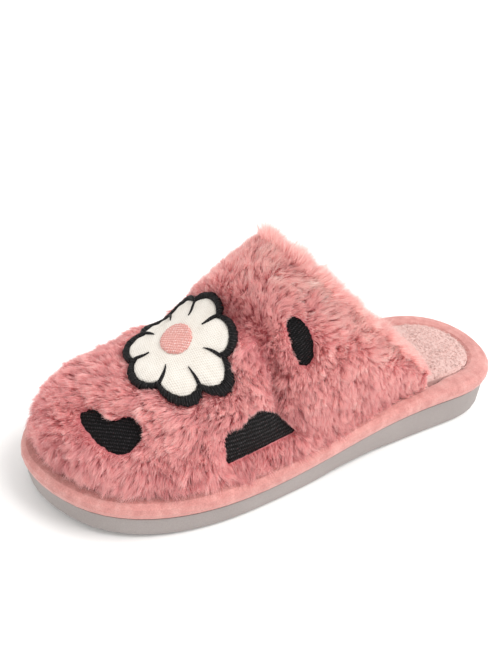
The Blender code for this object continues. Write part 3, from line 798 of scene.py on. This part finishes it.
def make_patch(
    name, place, loop, turn, floor, thickness, material, slot, node, ragged=0.0, seed=1, rows=7, crown=0.0004, pucker=0.0
):
    """An embroidered patch: concentric loops of its outline, a rounded ragged edge, and the thread's own coordinates."""
    rng = np.random.default_rng(seed)
    loop = resample(loop, 0.0007)
    wobble = rng.normal(size=len(loop)) * ragged
    middle = loop.mean(0)
    shares = np.linspace(1, 0.0, rows + 1)[:-1]
    rings, levels = [], []
    rings.append(grown(loop, wobble[:, None] - 0.0002))
    levels.append(floor)
    rings.append(grown(loop, wobble[:, None]))
    levels.append(floor + thickness * 0.55)
    rings.append(grown(loop, wobble[:, None] * 0.5 - 0.0005))
    levels.append(floor + thickness)
    for share in shares[1:]:
        rings.append(middle + (loop - middle) * share)
        levels.append(floor + thickness + crown * (1 - share))
    rings.append(middle[None])
    levels.append(floor + thickness + crown)
    local = np.vstack(rings)
    level = np.concatenate([np.full(len(r), v) for r, v in zip(rings, levels)])
    if pucker:
        top = np.arange(len(local)) >= 2 * len(loop)
        angle = np.arctan2(local[:, 1], local[:, 0])
        out_share = np.linalg.norm(local, axis=1) / np.linalg.norm(loop, axis=1).max()
        folds = np.sin(angle * 3 * DAISY_PETALS + 2 * np.sin(angle * 2)) * np.clip(out_share, 0, 1) ** 4
        waves = wave_noise(np.column_stack([local, np.zeros(len(local))]), 0.011, 17)
        level = level + top * pucker * (0.45 * folds + 0.5 * waves * (out_share < 0.93))
    points = lifted(place, local, level)
    size = len(loop)
    faces = [list(range(size))[::-1]]
    for k in range(len(rings) - 2):
        a, b = k * size, (k + 1) * size
        for i in range(size):
            j = (i + 1) % size
            faces.append([a + i, a + j, b + j, b + i])
    a, tip = (len(rings) - 2) * size, (len(rings) - 1) * size
    for i in range(size):
        faces.append([a + i, a + (i + 1) % size, tip])
    piece = mesh_from(name, points, faces, material)
    angle = math.radians(turn)
    thread = np.column_stack([
        local[:, 0] * math.cos(angle) + local[:, 1] * math.sin(angle),
        -local[:, 0] * math.sin(angle) + local[:, 1] * math.cos(angle),
        np.zeros(len(local)),
    ])
    number_points(piece.data, "Thread", thread)
    return ride(piece, slot, node)


def make_border(name, place, inner, outer, floor, height, material, slot, node):
    """A thick satin-stitched band: a rounded section of single stitches, each a little different."""
    rng = np.random.default_rng(5)
    size = 800

    def even(loop):
        ends = np.vstack([loop, loop[:1]])
        at = np.arange(size) / size * len(loop)
        return np.column_stack([np.interp(at, np.arange(len(loop) + 1), ends[:, k]) for k in range(2)])

    a, b = even(inner), even(outer)
    stitch = np.repeat(rng.normal(size=size // 4), 4)
    round_stitch = np.tile([0.0, 0.75, 1.0, 0.75], size // 4)
    section = [(-0.04, 0.0), (-0.02, 0.50), (0.12, 0.82), (0.34, 1.04), (0.66, 1.04), (0.88, 0.82), (1.02, 0.50), (1.04, 0.0)]
    local, level = [], []
    for share, rise in section:
        ragged = stitch * 0.045 * (abs(share - 0.5) * 2) ** 2
        local.append(a + (b - a) * (share + ragged * np.sign(share - 0.5))[:, None])
        level.append(floor + height * rise + (rise > 0) * (0.00022 * (round_stitch - 1) + 0.00008 * stitch))
    local, level = np.vstack(local), np.concatenate(level)
    points = lifted(place, local, level)
    faces = []
    for k in range(len(section)):
        low, high = k * size, ((k + 1) % len(section)) * size
        for i in range(size):
            j = (i + 1) % size
            faces.append([low + i, high + i, high + j, low + j])
    piece = mesh_from(name, points, faces, material)
    run = np.tile(np.arange(size) / size, len(section))
    middle = (a + b) / 2
    length = np.linalg.norm(np.roll(middle, -1, 0) - middle, axis=1).sum()
    across = np.repeat([s for s, _ in section], size) * 0.003
    number_points(piece.data, "Thread", np.column_stack([across, run * length, np.zeros(len(run))]))
    return ride(piece, slot, node)


for _k, (_name, (_pu, _pv, _hw, _hh, _rows, _turn)) in enumerate(PATCHES.items()):
    make_patch(
        _name + "_thread", (_pu, _pv), PATCH_SHAPES[_name][1], _turn, CLOTH - PATCH_STEP + GAP, PATCH_THICKNESS,
        RIBBED if _name == "dome_patch" else BLACK, "black_thread", _name, ragged=0.00018, seed=20 + _k,
    )
_floor = CLOTH + DAISY_LIFT + GAP
make_patch(
    "daisy_cloth", DAISY_PLACE, daisy_outline(DAISY_RADIUS, 12), 20.0, _floor, PATCH_THICKNESS, FELT, "white_felt",
    "daisy_panel", seed=31, rows=16, crown=0.0010, pucker=0.0004,
)
make_border(
    "daisy_satin_border", DAISY_PLACE, daisy_outline(DAISY_RADIUS, 12), daisy_outline(DAISY_RADIUS + DAISY_BORDER, 12), _floor,
    PATCH_THICKNESS + 3 * PATCH_STEP, SATIN, "black_thread", "daisy_border",
)


def make_petal_lines():
    """Black stitched lines from the notches towards the centre, in one piece."""
    rng = np.random.default_rng(41)
    points, faces, thread = [], [], []
    steps = 22
    for k in range(DAISY_PETALS):
        angle = (k + 0.5) / DAISY_PETALS * 2 * math.pi + rng.normal() * 0.03
        way = np.array([math.cos(angle), math.sin(angle)])
        across = np.array([-way[1], way[0]])
        far, near = DAISY_RADIUS * (1 - PETAL_NOTCH) + 0.0006, DAISY_RADIUS * rng.uniform(0.50, 0.58)
        t = np.linspace(0, 1, steps)
        middle = way * (far + (near - far) * t)[:, None] + across * (0.0005 * np.sin(3.0 * t + k))[:, None]
        half = 0.00075 * (1 - t**2.2) + 0.00012
        half = half * (1 + 0.14 * np.tile([1, -1], steps // 2))
        section = [(-1.0, 0.0), (-0.8, 0.6), (0.0, 1.0), (0.8, 0.6), (1.0, 0.0)]
        start = len(points) * steps * len(section)
        local = np.vstack([middle + across * (half * s)[:, None] for s, _ in section])
        share = np.linalg.norm(local, axis=1) / DAISY_RADIUS
        bottom = _floor + PATCH_THICKNESS + 0.0010 * (1 - share) - 0.0003
        rise = np.concatenate([0.0010 * h * np.ones(steps) for _, h in section])
        points.append(lifted(DAISY_PLACE, local, bottom + rise))
        thread.append(np.column_stack([np.tile(t * (far - near), len(section)), local @ across, np.zeros(len(local))]))
        rows = len(section)
        for r in range(rows):
            low, high = start + r * steps, start + ((r + 1) % rows) * steps
            for i in range(steps - 1):
                faces.append([low + i, high + i, high + i + 1, low + i + 1])
        faces.append([start + r * steps for r in range(rows)][::-1])
        faces.append([start + r * steps + steps - 1 for r in range(rows)])
    piece = mesh_from("daisy_petal_lines", np.vstack(points), faces, SATIN)
    number_points(piece.data, "Thread", np.vstack(thread)[:, [1, 0, 2]])
    return ride(piece, "black_thread")


make_petal_lines()
_ring = np.arange(48) / 48 * 2 * math.pi
make_patch(
    "daisy_blush_centre", DAISY_PLACE, DAISY_CENTRE * np.column_stack([np.cos(_ring), np.sin(_ring)]), 35.0,
    _floor + PATCH_THICKNESS + GAP, 0.0012, BLUSH, "blush_thread", "daisy_centre", ragged=0.00015, seed=33, rows=5,
)

# ---- the pile
ROOT_COLOUR = np.array([0.84, 0.345, 0.365])
MID_COLOUR = np.array([0.93, 0.510, 0.515])
TIP_COLOUR = np.array([0.98, 0.690, 0.660])
PALE_COLOUR = np.array([1.00, 0.750, 0.700])
SEAM_REACH = 0.0026
SEAM_SHARE = ([0.00, 0.18, 0.32, 0.68, 0.82, 1.00], [0.10, 0.25, 1.00, 1.00, 0.25, 0.10])
TONE_SHARE = np.array([0.65, 1.30, 1.20])


def hair_colour(share, pale, tone):
    """Colour along a hair: dark root, rose middle and pale tip."""
    share = np.broadcast_to(share, pale.shape)
    mid = np.clip(share * 2.0 + 0.05 + pale * 0.3, 0, 1)[..., None]
    warm = np.clip(share * 1.35 - 0.45 + pale * 0.45, 0, 1)[..., None]
    colour = ROOT_COLOUR + (MID_COLOUR - ROOT_COLOUR) * mid
    colour = colour + (TIP_COLOUR - colour) * warm
    colour = colour + (PALE_COLOUR - colour) * (np.clip(pale - 0.25, 0, 0.6) * share)[..., None]
    return np.clip(colour * (1 + tone[..., None] * TONE_SHARE), 0, 1)


def rim_floor(plan, u):
    """Height of the rim's surface under these plan points near the hem shares u, and which of them are over it."""
    hem = outline(hem_shares(u), 0.0)
    way = unit(hem - outline(hem_shares(u), 0.010))
    share = -((plan - hem) * way).sum(1) / RIM_WIDTH
    profile = np.interp(share, [-0.185, -0.11, 0.15, 0.50, 0.82, 1.3], [0.45, 0.75, 0.955, 1.0, 1.0, 1.0])
    return wrap_base(plan[:, 1]) + WRAP_HEIGHT * profile, share > -0.185


def keep_off_rim(path, u, lift):
    """Raises what hangs over the rim to stand a little over it, the ends by lift."""
    for k in range(path.shape[1]):
        floor, over = rim_floor(path[:, k, :2], u)
        floor = floor + 0.0003 + lift * (k / 2) ** 2
        path[:, k, 2] = np.where(over & (path[:, k, 2] < floor), floor, path[:, k, 2])


def edge_of(points, loop):
    """Signed distance from 2-D points to a closed loop, below 0 inside, and the unit way from the edge outwards."""
    a, b = loop, np.roll(loop, -1, 0)
    along_edge = b - a
    share = np.clip(((points[:, None] - a) * along_edge).sum(2) / (along_edge**2).sum(1), 0, 1)
    nearest_point = a + share[..., None] * along_edge
    apart = points[:, None] - nearest_point
    distance = np.linalg.norm(apart, axis=2)
    pick = distance.argmin(1)
    row = np.arange(len(points))
    sign = np.where(inside(points, loop), -1.0, 1.0)
    return distance[row, pick] * sign, unit(apart[row, pick]) * sign[:, None]


def make_pile():
    rng = np.random.default_rng(SEED)
    u, v = scatter(rng, BLADES)
    base = read_grid("point", u, v)
    out = read_grid("out", u, v)
    # leave the patches bare, and note the hair that stands beside them
    bare = np.zeros(len(u), bool)
    beside = np.full(len(u), 1.0)
    inwards = np.zeros((len(u), 3))
    for name, (place, loop) in PATCH_SHAPES.items():
        origin, right, up, normal = patch_frame(place)
        apart = base - origin
        local = np.column_stack([apart @ right, apart @ up])
        near = (np.abs(apart @ normal) < 0.02) & ((out @ normal) > 0) & (np.abs(local).max(1) < 0.04)
        spot = np.nonzero(near)[0]
        distance, way = edge_of(local[spot], loop)
        bare[spot] |= distance < 0.0002
        closer = distance < beside[spot]
        beside[spot] = np.where(closer, distance, beside[spot])
        inwards[spot[closer]] = -(way[closer, :1] * right + way[closer, 1:] * up)
    keep = ~bare
    u, v, base, out, beside, inwards = u[keep], v[keep], base[keep], out[keep], beside[keep], inwards[keep]
    count = len(u)

    area = 0.036
    cu, cv = scatter(rng, int(area / CLUMP_SPACING**2))
    tu, tv = scatter(rng, int(area / TUFT_SPACING**2))
    clumps, tufts = read_grid("point", cu, cv), read_grid("point", tu, tv)
    clump_of, tuft_of = nearest(base, clumps), nearest(base, tufts)

    def lay(u, v, points, push):
        """Height and sideways reach of the hair at these places, in metres, before any locks."""
        out, round_hem, up_rib = (read_grid(name, u, v) for name in ("out", "round", "up"))
        full = np.clip(rib_length(u) / FULL_RIB, 0.5, 1)
        part = -1 + 2 * smooth_step((v - 0.70) / 0.20)
        swirl = wave_noise(points, 0.030, 3) * 0.60 + push[:, 0]
        sway = wave_noise(points, 0.020, 4) * 0.45 + push[:, 1]
        way = up_rib * (part + sway)[:, None] + round_hem * swirl[:, None]
        long = 1 + 0.07 * wave_noise(points, 0.014, 5) + push[:, 2]
        collar = smooth_step((v - 0.84) / 0.16)
        hem = 1 - smooth_step(v / 0.15)
        spread = np.interp(u, HEM_DRAPE[0], HEM_DRAPE[1])
        height = (0.0062 + spread * hem - 0.0006 * collar) * long * np.sqrt(full)
        reach = (0.0025 + 0.0014 * hem + 0.0020 * collar) * long * full**0.3
        height = height - fold_depth(points, CREASES) * 0.75
        return out * height[:, None], way * reach[:, None]

    def pushes(size, swirl, sway, long):
        return rng.normal(size=(size, 3)) * [swirl, sway, long]

    push_c = pushes(len(clumps), 0.32, 0.30, 0.05)
    push_t = pushes(len(tufts), 0.36, 0.34, 0.08)
    push = pushes(count, 0.45, 0.42, 0.07) + push_t[tuft_of] + push_c[clump_of]
    rise, reach = lay(u, v, base, push)
    tuft_rise, tuft_reach = lay(tu, tv, tufts, push_t + push_c[nearest(tufts, clumps)])
    clump_rise, clump_reach = lay(cu, cv, clumps, push_c)
    root = base + out * CLOTH
    tuft_tip = (tufts + read_grid("out", tu, tv) * CLOTH + tuft_rise + tuft_reach)[tuft_of]
    clump_tip = (clumps + read_grid("out", cu, cv) * CLOTH + clump_rise + clump_reach)[clump_of]
    tip = root + rise + reach
    tip += (tuft_tip - tip) * rng.uniform(0.15, 0.62, count)[:, None]
    tip += (clump_tip - tip) * rng.uniform(0.00, 0.22, count)[:, None]
    # hair beside a patch stands up, and only its ends hang over the patch's edge
    flat = tip - root
    height = (flat * out).sum(1, keepdims=True)
    sideways = flat - out * height
    over = (sideways * inwards).sum(1)
    allowed = beside + rng.uniform(0.0000, 0.0010, count)
    close = beside < 0.009
    shrink = np.where(close & (over > allowed), allowed / np.maximum(over, 1e-6), 1.0)
    sideways *= shrink[:, None]
    lean = np.clip(1 - beside / 0.0022, 0, 1) * (beside < 0.9)
    sideways = sideways * (1 - 0.7 * lean)[:, None] + inwards * (lean * rng.uniform(0.0002, 0.0011, count))[:, None]
    height *= (0.62 + 0.38 * smooth_step(beside / 0.0055))[:, None]
    # the lowest hair is short and painted darker, a painted shadow under the fringe, and the fringe above it ends in
    # the open
    seam = np.clip(1 - v * rib_length(u) / SEAM_REACH, 0, 1) * np.interp(u, *SEAM_SHARE)
    height *= (1 - 0.55 * seam)[:, None]
    sideways *= (1 - 0.60 * seam)[:, None]
    steps = 3
    path = np.empty((count, steps, 3))
    for k, t in enumerate((0.0, 0.52, 1.0)):
        path[:, k] = root + out * height * (1 - (1 - t) ** 1.5) + sideways * t**1.4
    low = v < 0.34
    part = path[low]
    keep_off_rim(part, u[low], rng.uniform(0.0012, 0.0032, low.sum()) * (1 - 0.8 * seam[low]))
    path[low] = part
    direction = unit(path[:, -1] - path[:, 0])
    side = unit(np.cross(direction, out) + rng.normal(size=out.shape) * 0.45)

    # Painted shade: the hair's tone is darker in the folds and creases, where shade falls.
    crease_shade = np.clip((fold_depth(base, FOLDS) + fold_depth(base, CREASES)) / 0.006, 0, 1)
    # Painted shadow: the tone is darker at the seam, under the fringe. The tone also grows lighter towards the collar.
    tone = (
        0.04 * rng.normal(size=len(clumps))[clump_of] + 0.06 * rng.normal(size=len(tufts))[tuft_of]
        + 0.05 * rng.normal(size=count) + 0.04 * wave_noise(base, 0.020, 8) - 0.20 * crease_shade + 0.16 * (v - 0.45) - 0.34 * seam
    )
    pale = 0.45 * smooth_step((v - 0.84) / 0.16) + 0.16 * wave_noise(base, 0.045, 9) + 0.12 * rng.normal(size=count)
    colour = np.stack([hair_colour(t, pale, tone) for t in (0.0, 0.52, 1.0)], axis=1)
    width = BLADE_WIDTH * rng.uniform(0.75, 1.3, count)
    order = rng.permutation(count)
    for k, start in enumerate(range(0, count, BLADES_A_PIECE)):
        pick = order[start:start + BLADES_A_PIECE]
        piece = blades("pile_%d" % (k + 1), path[pick], side[pick], width[pick], colour[pick], HAIR)
        ride(piece, "pink_plush", "upper")


def rib_length(u):
    columns = np.linspace(0, 1, GU)
    length = np.linalg.norm(np.diff(GRID_POINT, axis=1), axis=-1).sum(1)
    return np.interp(u, columns, length)


def make_fringe(count=22000):
    """The soft rolled edge of the collar: hair that fans from the outer face over the edge to the lining."""
    rng = np.random.default_rng(SEED + 1)
    edge = GRID_POINT[:, -1]
    run = np.concatenate([[0], np.cumsum(np.linalg.norm(np.diff(edge, axis=0), axis=1))])
    u = np.interp(rng.random(count) * run[-1], run, np.linspace(0, 1, GU))
    v = np.ones(count)
    base, out, up, round_hem = (read_grid(name, u, v) for name in ("point", "out", "up", "round"))
    fan = rng.uniform(-0.75, 1.15, count)
    root = base + out * (CLOTH * np.clip(0.5 + 0.5 * fan, 0, 1))[:, None] - up * 0.0006
    lock = (u * 110).astype(int)
    push = rng.normal(size=(112, 3))[lock]
    full = np.clip(rib_length(u) / FULL_RIB, 0.60, 1)
    uneven = 0.12 * push[:, 0] + 0.12 * rng.normal(size=count) + 0.16 * wave_noise(base, 0.014, 14)
    reach = (0.0088 + 0.0010 * np.clip(fan, 0, 1)) * (1.0 + uneven) * full**0.5
    angle = fan + 0.16 * push[:, 1]
    way = up * np.cos(angle)[:, None] + out * np.sin(angle)[:, None]
    shift = 0.0011 * push[:, 2] + 0.0009 * rng.normal(size=count)
    steps = (0.0, 0.52, 1.0)
    path = np.stack([root + way * (reach * t)[:, None] + round_hem * (shift * t**1.4)[:, None] for t in steps], axis=1)
    side = unit(np.cross(unit(path[:, -1] - path[:, 0]), way + rng.normal(size=(count, 3)) * 0.6))
    tone = 0.05 * push[:, 0] + 0.06 * rng.normal(size=count)
    pale = 0.70 + 0.25 * rng.normal(size=count)
    colour = np.stack([hair_colour(t, pale, tone) for t in steps], axis=1)
    piece = blades("collar_fringe", path, side, BLADE_WIDTH * rng.uniform(0.7, 1.2, count), colour, HAIR)
    ride(piece, "pink_plush", "upper")


make_pile()
make_fringe()


# ---- footbed: a soft looped fleece over the insole
def inset_place(rng, count, margin):
    """Even places over the footbed."""
    low, high = outline(np.linspace(0, 1, 200, endpoint=False), INSOLE_INSET).min(0), outline(np.linspace(0, 1, 200, endpoint=False), INSOLE_INSET).max(0)
    loop = outline(np.linspace(0, 1, 200, endpoint=False), INSOLE_INSET + margin)
    got = np.zeros((0, 2))
    while len(got) < count:
        p = low + rng.random((count * 2, 2)) * (high - low)
        got = np.vstack([got, p[inside(p, loop)]])
    return got[:count]


def footbed_height(plan):
    loop = outline(np.linspace(0, 1, 400, endpoint=False), INSOLE_INSET)
    tree = kdtree.KDTree(len(loop))
    for k, p in enumerate(loop):
        tree.insert((p[0], p[1], 0), k)
    tree.balance()
    apart = np.array([tree.find((p[0], p[1], 0))[2] for p in plan])
    edge = 0.25 * INSOLE_THICKNESS
    lift = np.interp(apart, [0, edge, 8 * edge], [INSOLE_THICKNESS - edge, INSOLE_THICKNESS, INSOLE_THICKNESS + INSOLE_CROWN])
    return ledge(plan[:, 1]) + GAP + lift, apart


def make_fleece(count=42000):
    rng = np.random.default_rng(SEED + 2)
    plan = inset_place(rng, count, 0.0001)
    z, _ = footbed_height(plan)
    root = np.column_stack([plan, z - 0.0002])
    centres = inset_place(rng, 9000, 0.0)
    owner = nearest(root, np.column_stack([centres, footbed_height(centres)[0]]))
    curl = rng.normal(size=(len(centres), 2))[owner] * 0.6 + rng.normal(size=(count, 2)) * 0.45
    pull = np.column_stack([centres, np.zeros(len(centres))])[owner] - np.column_stack([plan, np.zeros(count)])
    tall = 0.0007 * (1 + 0.15 * rng.normal(size=count)) * (1 + 0.20 * wave_noise(root, 0.010, 21))
    steps = (0.0, 0.55, 1.0)
    path = np.empty((count, 3, 3))
    for k, t in enumerate(steps):
        path[:, k] = root + pull * 0.6 * t
        path[:, k, :2] += curl * 0.0014 * t**1.2
        path[:, k, 2] += tall * (t if t < 1 else 0.9)
    side = rng.normal(size=(count, 3)) * [1, 1, 0.05]
    tone = (
        0.05 * rng.normal(size=len(centres))[owner] + 0.03 * rng.normal(size=count)
        + 0.050 * wave_noise(root, 0.016, 22)
    )
    colour = np.empty((count, 3, 3))
    for k, share in enumerate(steps):
        c = np.array([0.71, 0.485, 0.450]) * (1 - share) + np.array([0.76, 0.570, 0.535]) * share
        colour[:, k] = c[None] * (1 + tone)[:, None]
    piece = blades("footbed_nap", path, unit(side), 0.00036 * rng.uniform(0.7, 1.3, count), colour, NAP)
    ride(piece, "pink_fleece")


finish_node("insole", FLEECE)
make_fleece()

# ---- floor, light and camera
bpy.ops.mesh.primitive_plane_add(size=40, location=(0, 0, -0.0002))
floor = bpy.context.object
floor.name = "studio_floor"
paper = bpy.data.materials.new("paper_floor")
paper.use_nodes = True
paper.node_tree.nodes["Principled BSDF"].inputs["Base Color"].default_value = (0.93, 0.925, 0.92, 1)
paper.node_tree.nodes["Principled BSDF"].inputs["Roughness"].default_value = 0.95
paper.node_tree.nodes["Principled BSDF"].inputs["Specular IOR Level"].default_value = 0.1
floor.data.materials.append(paper)

world = bpy.data.worlds.new("soft_box")
world.use_nodes = True
world.node_tree.nodes["Background"].inputs["Color"].default_value = (1.0, 0.99, 0.98, 1)
world.node_tree.nodes["Background"].inputs["Strength"].default_value = 1.0
bpy.context.scene.world = world


def add_sun(name, strength, spread, direction, colour=(1, 1, 1)):
    light = bpy.data.lights.new(name, "SUN")
    light.energy = strength
    light.angle = math.radians(spread)
    light.color = colour
    lamp = bpy.data.objects.new(name, light)
    lamp.rotation_mode = "QUATERNION"
    lamp.rotation_quaternion = Vector(direction).to_track_quat("-Z", "Y")
    bpy.context.scene.collection.objects.link(lamp)


RIGHT = Vector((-0.4526, -0.8901, 0.0541)).normalized()
BACK = Vector((-0.7337, 0.4062, 0.5447))
BACK = (BACK - RIGHT * BACK.dot(RIGHT)).normalized()
UP = BACK.cross(RIGHT)
add_sun("key", 1.9, 30, -(RIGHT * 0.80 + BACK * 0.15 + Vector((0, 0, 1)) * 0.90), (1.0, 0.99, 0.98))

camera = bpy.data.cameras.new("camera")
camera.sensor_width = 36
camera.lens = 598.3 * 36 / 669
camera.clip_start = 0.01
camera.clip_end = 100
eye = bpy.data.objects.new("camera", camera)
bpy.context.scene.collection.objects.link(eye)
at = Vector((-0.2133 - SHIFT[0], 0.1407 - SHIFT[1], 0.2230))
eye.matrix_world = Matrix((
    (RIGHT.x, UP.x, BACK.x, at.x),
    (RIGHT.y, UP.y, BACK.y, at.y),
    (RIGHT.z, UP.z, BACK.z, at.z),
    (0, 0, 0, 1),
))
bpy.context.scene.camera = eye
bpy.context.scene.view_settings.view_transform = "Standard"
